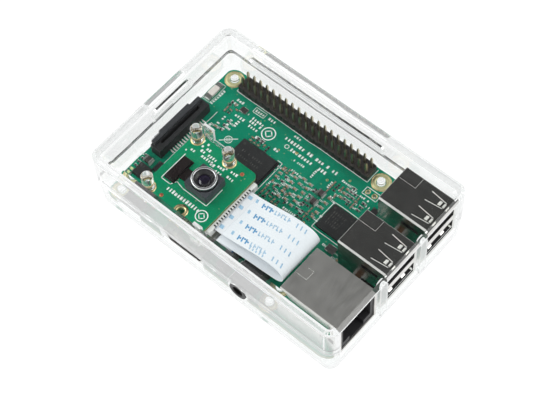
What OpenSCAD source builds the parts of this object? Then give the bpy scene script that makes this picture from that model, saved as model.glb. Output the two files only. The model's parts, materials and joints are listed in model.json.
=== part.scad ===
// Credit-card sized single board computer in a clear two-part case, with a small camera
// board hung under the lid and a flat ribbon cable that joins the two boards.
// Millimetres, +Z up. The origin is the middle of the case's underside.

/* [Case] */
// Length of the closed case
case_l = 91.6; // [91.6:0.1:93]
// Width of the closed case
case_w = 61.2; // [61.2:0.1:63]
// Height of the closed case
case_h = 24.5; // [24.5:0.1:26]
// Wall thickness of both shells
wall = 2; // [1.9:0.05:2.1]
// Outside radius of the upright corners
corner_r = 3.6; // [3.4:0.1:4.2]
// Height of the joint line between base and lid
joint_z = 11.6; // [11.5:0.1:11.8]
// Flat bevel round the lid's top edge
bevel = 1.1; // [0.6:0.1:1.4]

/* [Main board] */
// Length of the main board
board_l = 85; // [84.8:0.1:85]
// Width of the main board
board_w = 56; // [55.8:0.1:56]
// Thickness of the main board
board_t = 1.4; // [1.2:0.1:1.6]
// Height of the main board's top face over the underside of the case
board_top = 6; // [5.9:0.1:6.1]
// Diameter of the board's mounting holes
mount_d = 2.75; // [2.7:0.05:2.9]
// Distance between mounting holes along the board
mount_l = 58; // [58]
// Distance between mounting holes across the board
mount_w = 49; // [49]
// Distance from the board's edges to its mounting holes
mount_inset = 3.5; // [3.5]

/* [Pin header] */
// Pins in each row of the header
header_columns = 20; // [10:20]
// Distance between header pins
header_pitch = 2.54; // [2.54]

/* [Camera] */
// Length of the camera board, along the case
camera_l = 24; // [23.8:0.1:24]
// Width of the camera board, across the case
camera_w = 25; // [24.8:0.1:25]
// Height of the camera board's top face over the underside of the case
camera_top = 16.5; // [16.3:0.1:16.7]
// Diameter of the round lens barrel
lens_d = 7.8; // [7.4:0.1:7.9]
// Width of the flat ribbon cable
ribbon_w = 16; // [15.5:0.1:16]

/* [Hidden] */
$fn = 48;

// Small gap that keeps neighbouring parts clear of each other
gap = 0.1;
// Inner lip of the base, which the lid's skirt slides over
lip_t = 0.9;
lip_h = 1.4;
// Inset of the base's underside against its rim, so that it leaves the mould
base_draft = 0.8;
floor_t = 2;
roof_z = case_h - wall;
board_bottom = -board_t;
floor_z = floor_t - board_top;

// Connector places, measured from the board's corner beside the power socket
power_x = 10.6;
hdmi_x = 32;
audio_x = 53.5;
// Diameter of the plug that fits the round jack
jack_d = 3.5;
ethernet_y = 10.25;
usb_front_y = 29;
usb_rear_y = 47;
display_y = 28;
camera_socket_x = 45;
camera_socket_y = 11.5;
port_front = 87.1;
usb_w = 13.2;
usb_h = 16;
usb_l = 17.5;
ethernet_w = 16;
ethernet_h = 13.5;
ethernet_l = 21.3;
header_x = 32.5;
header_y = 52.5;
end_wall_x = (board_l + case_l) / 2 - wall;

// Middle of the main chip and of the two reset pads
processor_at = [27.2, 31.2];
reset_at = [for (i = [0, 1]) [60.5 + 2.54 * i, 47.5]];

// Camera board centre, in the main board's measure
camera_x = 24.5;
camera_y = 14.2;
camera_t = 1;
camera_hole_d = 2.2;
// The camera's holes: two rows 12.5 apart, 21 across, the first row 2 from the edge
camera_holes = [for (x = [2, 14.5], y = [-10.5, 10.5]) [x - camera_l / 2, y]];
// Posts hold it at three of them and leave the one beside the ribbon's near edge open
camera_post_holes = [for (hole = camera_holes) if (hole[0] < 0 || hole[1] > 0) hole];
lens_x = 2.5;

board_holes = [for (x = [0, mount_l], y = [0, mount_w]) [mount_inset + x, mount_inset + y]];

// ---------------------------------------------------------------- shared shapes

// Places children in the main board's measure: corner at the origin, top face at z = 0
module on_board() {
    translate([-board_l / 2, -board_w / 2, board_top]) children();
}

// Places children in the camera board's measure: middle at the origin, top face at z = 0
module on_camera() {
    translate([camera_x - board_l / 2, camera_y - board_w / 2, camera_top]) children();
}

// Block with its middle at x, y and its underside at z
module block(x, y, z, size) {
    translate([x - size[0] / 2, y - size[1] / 2, z]) cube(size);
}

module rounded_rect(l, w, r) {
    square([l - 2 * r, w], center = true);
    square([l, w - 2 * r], center = true);
    for (x = [-1, 1], y = [-1, 1])
        translate([x * (l / 2 - r), y * (w / 2 - r)]) circle(r);
}

module rounded_plate(l, w, r, h) {
    linear_extrude(h) rounded_rect(l, w, r);
}

// Sweeps a flat profile round a rounded rectangle. The profile's x is the distance out
// from the corner's centre line and its y is the height.
module swept_wall(l, w, r) {
    for (q = [0:3]) {
        across = q % 2 == 0 ? l : w;
        along = q % 2 == 0 ? w : l;
        rotate(90 * q) translate([across / 2 - r, 0, 0]) rotate([90, 0, 0])
            linear_extrude(along - 2 * r, center = true) children();
    }
    for (corner = [[1, 1, 0], [-1, 1, 90], [-1, -1, 180], [1, -1, 270]])
        translate([corner[0] * (l / 2 - r), corner[1] * (w / 2 - r), 0])
            rotate(corner[2]) rotate_extrude(angle = 90) children();
}

// Flat slot with round ends, cut along y through a wall that faces x
module slot_along_y(length, height, depth) {
    rotate([0, -90, 0]) linear_extrude(depth, center = true) {
        square([height, length - height], center = true);
        for (y = [-1, 1]) translate([0, y * (length - height) / 2]) circle(height / 2);
    }
}

module ring(outer_d, inner_d, h) {
    difference() {
        cylinder(d = outer_d, h = h);
        translate([0, 0, -1]) cylinder(d = inner_d, h = h + 2);
    }
}

// Rectangular opening through the wall in front of a port on the board's near long side
module near_wall_opening(x, z, w, h) {
    block(x, 0, z, [w, 8, h]);
}

// ---------------------------------------------------------------- case

module base_wall_profile() {
    inner = corner_r - wall;
    polygon([
        [inner - 0.3, 0],
        [corner_r - base_draft - 0.6, 0],
        [corner_r - base_draft, 0.6],
        [corner_r, joint_z - gap],
        [inner + lip_t, joint_z - gap],
        [inner + lip_t, joint_z + lip_h],
        [inner, joint_z + lip_h],
        [inner, floor_t + 0.8],
        [inner - 0.3, floor_t]
    ]);
}

module lid_wall_profile() {
    inner = corner_r - wall;
    rebate_z = joint_z + lip_h + 0.15;
    polygon([
        [corner_r, joint_z],
        [corner_r, case_h - bevel],
        [corner_r - bevel, case_h],
        [0, case_h],
        [0, roof_z],
        [inner - 1.4, roof_z],
        [inner - 0.4, roof_z - 0.4],
        [inner, roof_z - 1.4],
        [inner, rebate_z],
        [inner + lip_t + gap, rebate_z],
        [inner + lip_t + gap, joint_z]
    ]);
}

// Post that carries the main board, with a pin that stands in the board's hole
module board_post() {
    pin_d = mount_d - 0.3;
    translate([0, 0, floor_z]) cylinder(d = 6, h = board_bottom - gap / 2 - floor_z);
    translate([0, 0, board_bottom - 1]) cylinder(d = pin_d, h = board_t + 2);
    translate([0, 0, 1]) cylinder(d1 = pin_d, d2 = pin_d - 1, h = 0.6);
}

// Upright strip with a round top that divides two ports in the base's end wall
module port_pillar(y, w) {
    top = roof_z - board_top - 0.3;
    rise = top - w / 2;
    translate([end_wall_x, y, 0]) {
        translate([0, -w / 2, -1]) cube([wall, w, rise + 1]);
        translate([0, 0, rise]) rotate([0, 90, 0]) cylinder(d = w, h = wall);
    }
}

module case_base() {
    color("gainsboro", 0.3) difference() {
        union() {
            swept_wall(case_l, case_w, corner_r) base_wall_profile();
            rounded_plate(case_l - 2 * wall + 1, case_w - 2 * wall + 1, corner_r - wall + 0.5, floor_t);
            on_board() {
                for (hole = board_holes) translate([hole[0], hole[1], 0]) board_post();
            }
        }
        on_board() {
            near_wall_opening(power_x, -0.5, 9.4, 4.1);
            near_wall_opening(hdmi_x, -0.4, 16.4, 12);
            translate([audio_x, 4, 3]) rotate([90, 0, 0]) cylinder(d = 7.4, h = 8);
            block(audio_x, 0, 3, [6.4, 8, 12]);
            port_bay(ethernet_y, ethernet_w + 1.4);
            port_bay(usb_front_y, usb_w + 1.8);
            port_bay(usb_rear_y, usb_w + 1.8);
            block(-3, display_y, floor_z, [6, 15, board_bottom - floor_z + 0.6]);
        }
    }
    color("gainsboro", 0.3) on_board() {
        port_pillar((ethernet_y + usb_front_y) / 2 + 0.75, 2.9);
        port_pillar((usb_front_y + usb_rear_y) / 2, 2.9);
    }
}

// Bay cut down into the base's end wall for one port
module port_bay(y, w) {
    translate([end_wall_x - 1, y - w / 2, -0.4]) cube([wall + 2, w, 20]);
}

module case_lid() {
    roof = 2 * (corner_r - 1);
    color("gainsboro", 0.3) difference() {
        union() {
            swept_wall(case_l, case_w, corner_r) lid_wall_profile();
            translate([0, 0, roof_z]) rounded_plate(case_l - roof, case_w - roof, 1, wall);
        }
        on_board() {
            // one wide window over the three ports of the end wall
            translate([end_wall_x - 1.5, ethernet_y - ethernet_w / 2 - 1, 0])
                cube([wall + 4, usb_rear_y + usb_w / 2 - ethernet_y + ethernet_w / 2 + 2, roof_z - board_top]);
            // slots for a display ribbon and for a header ribbon
            translate([-3, 31, 9]) slot_along_y(17.5, 5, 8);
            translate([header_x, board_w + 2, 8.9]) rotate(90) slot_along_y(52.4, 3, 8);
            // reliefs over the tall ports of the near side
            block(hdmi_x, 0, 0, [16.4, 3.4, 6.9]);
            translate([audio_x, 4, 3]) rotate([90, 0, 0]) cylinder(d = 6.6, h = 8);
        }
    }
    color("gainsboro", 0.3) camera_posts();
}

// Posts that hang from the lid's roof, with pins that stand in the camera board's holes
module camera_posts() {
    drop = roof_z - camera_top;
    on_camera() {
        for (hole = camera_post_holes) translate([hole[0], hole[1], 0]) {
            translate([0, 0, gap / 2]) cylinder(d = 3.6, h = drop - gap / 2);
            translate([0, 0, -camera_t - 0.5]) cylinder(d = camera_hole_d - 0.2, h = camera_t + 1);
        }
        // corner guide beside the ribbon
        translate([camera_l / 2 - 1.5, -camera_w / 2 - 1.2, -1]) cube([3, 1, drop + 1]);
        // plate and low ledge along the board's far edge
        translate([-9.3, camera_w / 2 + 0.3, -1]) cube([3.7, 0.8, drop + 1]);
        translate([-5.7, camera_w / 2 + 0.3, -1]) cube([7, 0.8, 1.3]);
    }
}

// ---------------------------------------------------------------- main board

module main_board() {
    color("seagreen") on_board() difference() {
        translate([board_l / 2, board_w / 2, board_bottom])
            rounded_plate(board_l, board_w, 3, board_t);
        for (hole = board_holes)
            translate([hole[0], hole[1], -2]) cylinder(d = mount_d, h = 3);
        header_grid() translate([0, 0, -2]) cylinder(d = 1, h = 3, $fn = 16);
        for (pad = reset_at) translate([pad[0], pad[1], -2]) cylinder(d = 1, h = 3, $fn = 16);
    }
}

// Flat annular pads round the mounting holes
module mounting_rings() {
    color("gold") on_board() for (hole = board_holes)
        translate([hole[0], hole[1], 0]) ring(6.2, mount_d + 0.1, 0.05);
}

module header_grid() {
    for (column = [0:header_columns - 1], row = [0, 1])
        translate([
            header_x + (column - (header_columns - 1) / 2) * header_pitch,
            header_y + (row - 0.5) * header_pitch,
            0
        ]) children();
}

module processor() {
    color("dimgray") on_board() {
        block(processor_at[0], processor_at[1], 0, [14, 14, 0.6]);
        block(processor_at[0], processor_at[1], 0.6, [13, 13, 0.6]);
    }
}

module network_chip() {
    color("dimgray") on_board() block(60.4, 33.3, 0, [9, 9, 0.9]);
}

module memory_chip() {
    color("dimgray") on_board() block(processor_at[0], processor_at[1], board_bottom - 0.9, [12, 11.5, 0.9]);
}

module wireless_chip() {
    color("dimgray") on_board() block(10, 41, board_bottom - 0.6, [5, 5, 0.6]);
}

// Plastic strip of the pin header, with a bevelled cell round each pair of pins
module header_block() {
    notch = 0.5;
    color("black") on_board() difference() {
        block(header_x, header_y, 0, [header_columns * header_pitch, 2 * header_pitch, 2.5]);
        header_grid() translate([0, 0, -1]) block(0, 0, 0, [0.7, 0.7, 5]);
        for (column = [0:header_columns], side = [-1, 1])
            translate([
                header_x + (column - header_columns / 2) * header_pitch,
                header_y + side * header_pitch,
                -1
            ]) rotate(45) cube([notch, notch, 8], center = true);
    }
}

module header_pins() {
    color("goldenrod") on_board() header_grid() {
        block(0, 0, board_bottom - 1.2, [0.64, 0.64, 9.5]);
        translate([0, 0, 6.9]) block(0, 0, 0, [0.4, 0.4, 0.3]);
    }
}

module reset_pads() {
    color("gold") on_board() for (pad = reset_at)
        translate([pad[0], pad[1], 0]) ring(1.7, 1.05, 0.05);
}

// ---------------------------------------------------------------- USB ports

usb_mouths = [1.6, 9.4];
usb_mouth_w = 12.2;
usb_mouth_h = 5.1;
sheet = 0.35;

// Folded metal shell of a double USB socket, open at its two mouths
module usb_shell(y) {
    x0 = port_front - usb_l;
    color("silver") on_board() translate([0, y, 0]) difference() {
        union() {
            translate([x0, -usb_w / 2, 0]) cube([usb_l, usb_w, usb_h]);
            usb_flange();
        }
        translate([x0 + sheet, -usb_w / 2 + sheet, -1])
            cube([usb_l - 2 * sheet, usb_w - 2 * sheet, usb_h + 1 - sheet]);
        for (z = usb_mouths)
            translate([port_front - 2, -usb_mouth_w / 2, z]) cube([4, usb_mouth_w, usb_mouth_h]);
        usb_spring_cuts();
    }
}

// Outward lips at the front of the shell
module usb_flange() {
    lip = 0.5;
    translate([port_front - 0.4, 0, usb_h / 2]) difference() {
        translate([0, -usb_w / 2 - lip, -usb_h / 2 + 0.3]) cube([0.4, usb_w + 2 * lip, usb_h - 0.3 + lip]);
        translate([-1, -usb_w / 2 + 1, -usb_h / 2 + 1]) cube([3, usb_w - 2, usb_h - 2]);
    }
}

// Slits that free two leaf springs in the top and one in each side wall
module usb_spring_cuts() {
    slit = 0.3;
    for (spring = [-1, 1], side = [-1, 1])
        translate([port_front - 4.2, spring * 3.05 + side * 1.25, usb_h - 1]) rotate(side * -7)
            cube([6, slit, 4], center = true);
    for (spring = [-1, 1])
        translate([port_front - 3.1, spring * 3.05, usb_h]) cube([0.6, 1.6, 2], center = true);
    for (side = [-1, 1], z = usb_mouths)
        translate([port_front - 6, side * usb_w / 2, z + 2.4]) cube([6, 2, 1.6], center = true);
}

// Plastic core with the two tongues that carry the contacts
module usb_insert(y) {
    clear = sheet + gap;
    x0 = port_front - usb_l + clear;
    color("darkslategray") on_board() translate([0, y, 0]) {
        translate([x0, -usb_w / 2 + clear, 0]) cube([usb_l - 9.5, usb_w - 2 * clear, usb_h - clear - 0.3]);
        for (z = usb_mouths)
            translate([x0 + usb_l - 10, -5.6, z + 2.9]) cube([8.6, 11.2, 1.6]);
        translate([x0 + usb_l - 10, -usb_w / 2 + clear, 7.1]) cube([8.4, usb_w - 2 * clear, 1.9]);
    }
}

// Four flat contacts under each tongue
module usb_contacts(y) {
    contact_y = [-3.5, -1.1, 1.1, 3.5];
    color("goldenrod") on_board() translate([0, y, 0])
        for (z = usb_mouths, cy = contact_y)
            block(port_front - 5, cy, z + 2.7, [6, 1, 0.2]);
}

module usb_shell_rear() { usb_shell(usb_rear_y); }
module usb_insert_rear() { usb_insert(usb_rear_y); }
module usb_contacts_rear() { usb_contacts(usb_rear_y); }
module usb_shell_front() { usb_shell(usb_front_y); }
module usb_insert_front() { usb_insert(usb_front_y); }
module usb_contacts_front() { usb_contacts(usb_front_y); }

// ---------------------------------------------------------------- network port

network_mouth_w = 11.9;
network_mouth_h = 8;
network_mouth_z = 3.2;
network_key_w = 6.2;
network_key_z = 1.3;

module network_mouth(depth) {
    translate([port_front - depth, -network_mouth_w / 2, network_mouth_z])
        cube([depth + 1, network_mouth_w, network_mouth_h]);
    translate([port_front - depth, -network_key_w / 2, network_key_z])
        cube([depth + 1, network_key_w, 4]);
}

module ethernet_shell() {
    x0 = port_front - ethernet_l;
    color("silver") on_board() translate([0, ethernet_y, 0]) difference() {
        translate([x0, -ethernet_w / 2, 0]) cube([ethernet_l, ethernet_w, ethernet_h]);
        translate([x0 + sheet, -ethernet_w / 2 + sheet, -1])
            cube([ethernet_l - 2 * sheet, ethernet_w - 2 * sheet, ethernet_h + 1 - sheet]);
        translate([port_front - 2, -ethernet_w / 2 + 0.8, 0.9])
            cube([4, ethernet_w - 1.6, ethernet_h - 1.7]);
        // spring windows in the side walls
        for (side = [-1, 1])
            translate([port_front - 4, side * ethernet_w / 2, 7]) cube([4, 2, 2.4], center = true);
    }
}

module ethernet_insert() {
    clear = sheet + gap;
    x0 = port_front - ethernet_l + clear;
    length = ethernet_l - clear - 0.45;
    color("black") on_board() translate([0, ethernet_y, 0]) difference() {
        translate([x0, -ethernet_w / 2 + clear, 0])
            cube([length, ethernet_w - 2 * clear, ethernet_h - clear]);
        network_mouth(12);
        // sockets of the two signal lamps, at the upper corners of the face
        for (side = [-1, 1])
            translate([port_front - 1.5, side * 5.7, 11.45]) block(0, 0, 0, [4, 3.2, 1.5]);
    }
}

module ethernet_contacts() {
    color("goldenrod") on_board() translate([0, ethernet_y, 0])
        for (i = [0:7]) translate([port_front - 9, (i - 3.5) * 1.02 - 0.2, 10.2])
            rotate([0, 18, 0]) cube([6.2, 0.4, 0.25]);
}

// Two signal lamps beside the network port's mouth
module ethernet_lamps() {
    color("khaki") on_board() translate([0, ethernet_y, 0]) for (side = [-1, 1])
        translate([port_front - 2.1, side * 5.7, 11.55]) block(0, 0, 0, [2.6, 2.9, 1.3]);
}

// ---------------------------------------------------------------- near side ports

// Outline of the HDMI shell: a box whose lower corners are cut off
module hdmi_outline(w, h, cut) {
    polygon([
        [-w / 2, h], [w / 2, h], [w / 2, cut + 0.6], [w / 2 - cut, 0], [-w / 2 + cut, 0], [-w / 2, cut + 0.6]
    ]);
}

module hdmi_shell() {
    color("silver") on_board() translate([hdmi_x, -1.5, 0.2]) difference() {
        union() {
            rotate([-90, 0, 0]) mirror([0, 1, 0]) linear_extrude(11.5) hdmi_outline(15, 5.8, 1.6);
            translate([-7.5, 3, -0.2]) cube([15, 8.5, 4]);
        }
        translate([0, -1, 0.5]) rotate([-90, 0, 0]) mirror([0, 1, 0])
            linear_extrude(9) hdmi_outline(14, 4.8, 1.4);
        // leaf springs in the shell's top
        for (x = [-3.6, 3.6], side = [-1, 1])
            translate([x + side * 0.9, 4, 5.6]) cube([0.3, 4.5, 2], center = true);
    }
}

module hdmi_tongue() {
    color("black") on_board() translate([hdmi_x, -1.5, 0.2]) {
        translate([-6.2, 0.9, 2.6]) cube([12.4, 6.5, 1.1]);
        translate([-6.5, 7, 2.1]) cube([13, 0.8, 2.8]);
    }
}

module power_socket_shell() {
    color("silver") on_board() translate([power_x, -1.2, 0]) difference() {
        translate([-3.9, 0, 0]) cube([7.8, 5.6, 2.7]);
        translate([-3.5, -1, 0.4]) cube([7, 5.6, 1.9]);
    }
}

module power_socket_tongue() {
    color("black") on_board() translate([power_x, -1.2, 0])
        translate([-1.9, 0.7, 1.4]) cube([3.8, 3.9, 0.7]);
}

// Round-nosed jack: a block with a barrel that reaches into the wall
module audio_socket() {
    color("black") on_board() translate([audio_x, 0, 0]) difference() {
        union() {
            translate([-3.5, 0, 0]) cube([7, 12, 6]);
            translate([0, 0.5, 3]) rotate([90, 0, 0]) cylinder(d = 6, h = 3);
        }
        translate([0, 10, 3]) rotate([90, 0, 0]) cylinder(d = 4.12, h = 15);
    }
}

module audio_sleeve() {
    color("silver") on_board() translate([audio_x, 2, 3]) rotate([90, 0, 0]) ring(4.1, jack_d, 4.4);
}

// ---------------------------------------------------------------- ribbon sockets

// Low black socket with a slot for a ribbon, seen with its slot along y
module display_socket() {
    color("black") on_board() translate([3.6, display_y, 0]) difference() {
        translate([-2, -11, 0]) cube([4, 22, 4]);
        translate([-0.5, -8.3, 0.6]) cube([1, 16.6, 4]);
    }
}

// Sliding bar that grips the display ribbon; it pulls up out of the socket
module display_latch() {
    color("dimgray") on_board() translate([3.6, display_y, 4]) {
        translate([-2, -10.4, 0]) cube([1.4, 20.8, 1.4]);
        translate([-2.7, -6.5, 0.4]) cube([1, 13, 1]);
    }
}

// Row of bent contact feet along one side of a socket
module contact_feet(count, pitch) {
    for (i = [0:count - 1])
        translate([0, (i - (count - 1) / 2) * pitch, 0]) block(0, 0, 0, [1.2, 0.4, 0.25]);
}

module display_contacts() {
    color("whitesmoke") on_board() translate([6.3, display_y, 0]) contact_feet(15, 1);
}

module camera_socket() {
    color("black") on_board() translate([camera_socket_x, camera_socket_y, 0]) difference() {
        translate([-1.4, -10.6, 0]) cube([2.8, 21.2, 4.2]);
        translate([-0.5, -8.4, 0.5]) cube([1, 16.8, 5]);
    }
}

module camera_socket_latch() {
    color("dimgray") on_board() translate([camera_socket_x, camera_socket_y, 4.2]) difference() {
        translate([-1.4, -10.4, 0]) cube([2.8, 20.8, 1.3]);
        translate([-0.5, -8.4, -1]) cube([1, 16.8, 4]);
    }
}

module camera_socket_contacts() {
    color("whitesmoke") on_board() translate([camera_socket_x - 2, camera_socket_y, 0])
        contact_feet(15, 1);
}

// ---------------------------------------------------------------- memory card

module card_socket() {
    color("silver") on_board() translate([1, display_y, board_bottom - 1.5]) difference() {
        translate([0, -6.6, 0]) cube([14.5, 13.2, 1.5]);
        translate([-1, -5.6, 0.25]) cube([14, 11.2, 1]);
    }
}

module memory_card() {
    color("black") on_board() translate([-1.8, display_y, board_bottom - 1.2]) {
        translate([0, -5.5, 0]) cube([13.5, 11, 0.75]);
        translate([0, -5.5, 0]) cube([1.2, 11, 0.95]);
    }
}

// ---------------------------------------------------------------- small parts

module chip_antenna() {
    color("whitesmoke") on_board() block(1.7, 45, 0, [2, 6.5, 1.1]);
}

module power_regulator() {
    color("dimgray") on_board() {
        block(4.4, 10, 0, [4.4, 4.4, 0.9]);
        block(7.2, 14.2, 0, [2, 3.4, 0.9]);
        block(66.4, 43.2, 0, [2, 2, 0.8]);
    }
}

module power_inductors() {
    color("gray") on_board() {
        block(3.2, 14, 0, [2.6, 2.2, 1.2]);
        for (y = [34.5, 38]) block(50.5, y, 0, [2.2, 2, 1.4]);
        for (y = [20.5, 24]) block(58.5, y, 0, [2.4, 2, 1.4]);
    }
}

module input_fuse() {
    color("darkolivegreen") on_board() block(10.6, 7.6, 0, [4.4, 3, 0.9]);
}

// Larger box-shaped capacitors between the USB ports
module bulk_capacitors() {
    color("sienna") on_board() for (y = [20.3, 38]) block(76.4, y, 0, [3.5, 2.8, 1.9]);
}

// Rows of small capacitors: [x, y, count, step along y]
capacitor_rows = [
    [41, 29.5, 5, 2], [43.4, 30, 5, 2.2], [46, 29.5, 6, 1.8], [53.4, 30.4, 5, 2], [55.6, 40.8, 3, 1.7],
    [36.4, 34.2, 3, 1.6], [19.6, 20.4, 3, 2.2], [8.4, 24, 4, 2], [68.2, 22.4, 5, 1.6], [10.6, 32.4, 3, 1.8]
];
// Rows of small resistors: [x, y, count, step along y]
resistor_rows = [
    [38.8, 30.5, 4, 1.8], [48.2, 29.8, 5, 1.9], [56.9, 41.2, 4, 1.5], [58.4, 41.2, 3, 1.5], [12.4, 36.2, 3, 1.7],
    [62.2, 40.6, 3, 1.4], [67.6, 29.6, 4, 1.5], [1.3, 10.4, 4, 1.5], [23.5, 41.1, 1, 1], [25, 41.1, 1, 1]
];

module ceramic_capacitors() {
    color("tan") on_board() for (row = capacitor_rows, i = [0:row[2] - 1])
        block(row[0], row[1] + i * row[3], 0, [1.1, 0.6, 0.6]);
}

module chip_resistors() {
    color("black") on_board() for (row = resistor_rows, i = [0:row[2] - 1])
        block(row[0], row[1] + i * row[3], 0, [1, 0.5, 0.35]);
}

module crystals() {
    color("silver") on_board() {
        block(64.6, 25.6, 0, [3.2, 2.5, 0.8]);
        block(13.6, 45.6, 0, [2.5, 2, 0.7]);
    }
}

module status_lamps() {
    color("palegreen") on_board() for (y = [7.3, 8.7]) block(1.3, y, 0, [1.6, 0.8, 0.6]);
}

// ---------------------------------------------------------------- camera

module camera_board() {
    color("seagreen") on_camera() difference() {
        translate([0, 0, -camera_t]) rounded_plate(camera_l, camera_w, 2, camera_t);
        for (hole = camera_holes)
            translate([hole[0], hole[1], -2]) cylinder(d = camera_hole_d, h = 3);
    }
}

module camera_board_rings() {
    color("gold") on_camera() for (hole = camera_holes)
        translate([hole[0], hole[1], 0]) ring(4.4, 3.7, 0.05);
}

module lens_housing() {
    color("dimgray") on_camera() translate([lens_x, 0, 0]) difference() {
        rounded_plate(8.5, 8.5, 0.4, 3.3);
        translate([0, 0, 0.6]) cylinder(d = lens_d + 0.1, h = 5);
    }
}

module lens_barrel() {
    bore = lens_d - 2;
    color("silver") on_camera() translate([lens_x, 0, 0.6]) difference() {
        union() {
            cylinder(d = lens_d, h = 4);
            translate([0, 0, 4]) cylinder(d1 = lens_d, d2 = lens_d - 0.6, h = 0.3);
        }
        translate([0, 0, 1.2]) cylinder(d = bore, h = 5);
        translate([0, 0, 3.3]) cylinder(d1 = bore, d2 = bore + 1.4, h = 1.1);
    }
}

// Front element of the lens: a shallow dome sunk in the barrel
module lens_glass() {
    dome_r = 3.4;
    color("black") on_camera() translate([lens_x, 0, 1.9]) intersection() {
        cylinder(d = lens_d - 2.2, h = 3);
        translate([0, 0, 1.9 - dome_r]) sphere(dome_r);
    }
}

// Dark flexible tail that leaves the lens housing, with its stiffener
module sensor_flex() {
    color("black") on_camera() {
        block(-3.8, -0.7, 0, [4, 4, 0.35]);
        block(-7.1, -0.7, 0, [3.8, 9, 0.35]);
    }
}

module sensor_plug() {
    color("black") on_camera() block(-7.1, -0.7, 0.35, [3.2, 8.4, 0.9]);
}

ribbon_socket_x = 9.9;
ribbon_socket_h = 2.4;

module ribbon_socket() {
    color("ivory") on_camera() difference() {
        block(ribbon_socket_x, 0, -camera_t - ribbon_socket_h, [4.2, 20.6, ribbon_socket_h]);
        translate([ribbon_socket_x - 1, -8.5, -camera_t - 1.5]) cube([6, 17, 0.7]);
    }
}

// Bar that grips the ribbon from below; it pulls out along the ribbon
module ribbon_socket_latch() {
    bottom = -camera_t - ribbon_socket_h;
    color("black") on_camera() translate([ribbon_socket_x + 2.85, 0, bottom]) {
        block(0, 0, 0, [1.4, 20.6, 0.8]);
        for (side = [-1, 1]) block(0, side * 9.5, 0.8, [1.4, 1.6, 1.75]);
        // comb of teeth that spans the ribbon's top
        difference() {
            block(-0.1, 0, 1.95, [1.2, 17.6, 0.6]);
            for (i = [0:15]) block(0.3, i - 7.5, 1.2, [1, 0.5, 2]);
        }
    }
}

module ribbon_socket_contacts() {
    color("whitesmoke") on_camera() translate([ribbon_socket_x - 2.75, 0, -camera_t - 0.25])
        contact_feet(15, 1);
}

// Small parts scattered on the camera board's underside
module camera_board_parts() {
    color("tan") on_camera() for (i = [0:5])
        block(-8 + i * 2.2, i % 2 == 0 ? 6.5 : -6.5, -camera_t - 0.6, [1.1, 0.6, 0.6]);
}

// ---------------------------------------------------------------- ribbon cable

ribbon_t = 0.3;
// The upper run leaves the camera's socket and bows up until it is just under the roof
ribbon_start = [camera_x + ribbon_socket_x + 0.2, camera_top - board_top - camera_t - 1.15];
ribbon_peak = [61.2, roof_z - board_top - 1.5];
// The lower run slopes back below the upper one, folds under itself and plunges into the socket
ribbon_low_z = 9.3;
ribbon_fold = [40.7, 8.1];
ribbon_fold_r = 0.6;
ribbon_plunge_r = 1;

// The ribbon's middle line, as [x, z] points in order along the cable
function upper_run(steps) = [for (i = [0:steps - 1])
    let (t = i / steps, rise = (1 - cos(180 * t)) / 2)
    ribbon_start + [t * (ribbon_peak[0] - ribbon_start[0]), rise * (ribbon_peak[1] - ribbon_start[1])]];
// Half turn from a point downwards, bulging to +x (side = 1) or -x (side = -1)
function half_turn(top, r, side, bulge, steps) = [for (i = [0:steps])
    let (a = 90 - 180 * i / steps)
    [top[0] + side * bulge * r * cos(a), top[1] - r + r * sin(a)]];
curl_r = (ribbon_peak[1] - ribbon_low_z) / 2;
plunge_z = ribbon_fold[1] - 2 * ribbon_fold_r;
plunge = [for (i = [0:6]) let (a = 90 - 15 * i)
    [camera_socket_x - ribbon_plunge_r + ribbon_plunge_r * cos(a),
     plunge_z - ribbon_plunge_r + ribbon_plunge_r * sin(a)]];
ribbon_line = concat(
    upper_run(14),
    half_turn(ribbon_peak, curl_r, 1, 1.12, 16),
    half_turn(ribbon_fold, ribbon_fold_r, -1, 1, 8),
    plunge,
    [[camera_socket_x, 1.2]]
);

function unit(v) = v / norm(v);
function ribbon_side(i) =
    let (
        a = ribbon_line[max(i - 1, 0)],
        b = ribbon_line[min(i + 1, len(ribbon_line) - 1)],
        d = unit(b - a)
    ) [-d[1], d[0]] * ribbon_t / 2;
// The ribbon drifts sideways from the camera's middle to the socket's middle
function ribbon_y(i) = camera_y + (camera_socket_y - camera_y) * i / (len(ribbon_line) - 1);
function ribbon_corner(i, side, edge) =
    let (p = ribbon_line[i] + side * ribbon_side(i))
    [p[0], ribbon_y(i) + edge * ribbon_w / 2, p[1]];

// Flat cable as one closed strip, four corners at each station of its middle line
module ribbon_cable() {
    n = len(ribbon_line);
    ring_order = [[1, -1], [1, 1], [-1, 1], [-1, -1]];
    points = [for (i = [0:n - 1], c = ring_order) ribbon_corner(i, c[0], c[1])];
    sides = [for (i = [0:n - 2], k = [0:3])
        let (a = 4 * i, b = 4 * (i + 1), m = (k + 1) % 4) [a + k, a + m, b + m, b + k]];
    color("white") on_board()
        polyhedron(points, concat([[3, 2, 1, 0]], sides, [[for (k = [0:3]) 4 * (n - 1) + k]]));
}

case_base();
case_lid();
main_board();
mounting_rings();
processor();
memory_chip();
network_chip();
wireless_chip();
header_block();
header_pins();
usb_shell_rear();
usb_insert_rear();
usb_contacts_rear();
usb_shell_front();
usb_insert_front();
usb_contacts_front();
ethernet_shell();
ethernet_insert();
ethernet_contacts();
ethernet_lamps();
hdmi_shell();
hdmi_tongue();
power_socket_shell();
power_socket_tongue();
audio_socket();
audio_sleeve();
display_socket();
display_latch();
display_contacts();
camera_socket();
camera_socket_latch();
camera_socket_contacts();
card_socket();
memory_card();
chip_antenna();
power_regulator();
power_inductors();
input_fuse();
bulk_capacitors();
ceramic_capacitors();
chip_resistors();
crystals();
status_lamps();
reset_pads();
camera_board();
camera_board_rings();
lens_housing();
lens_barrel();
lens_glass();
sensor_flex();
sensor_plug();
ribbon_socket();
ribbon_socket_latch();
ribbon_socket_contacts();
camera_board_parts();
ribbon_cable();
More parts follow.
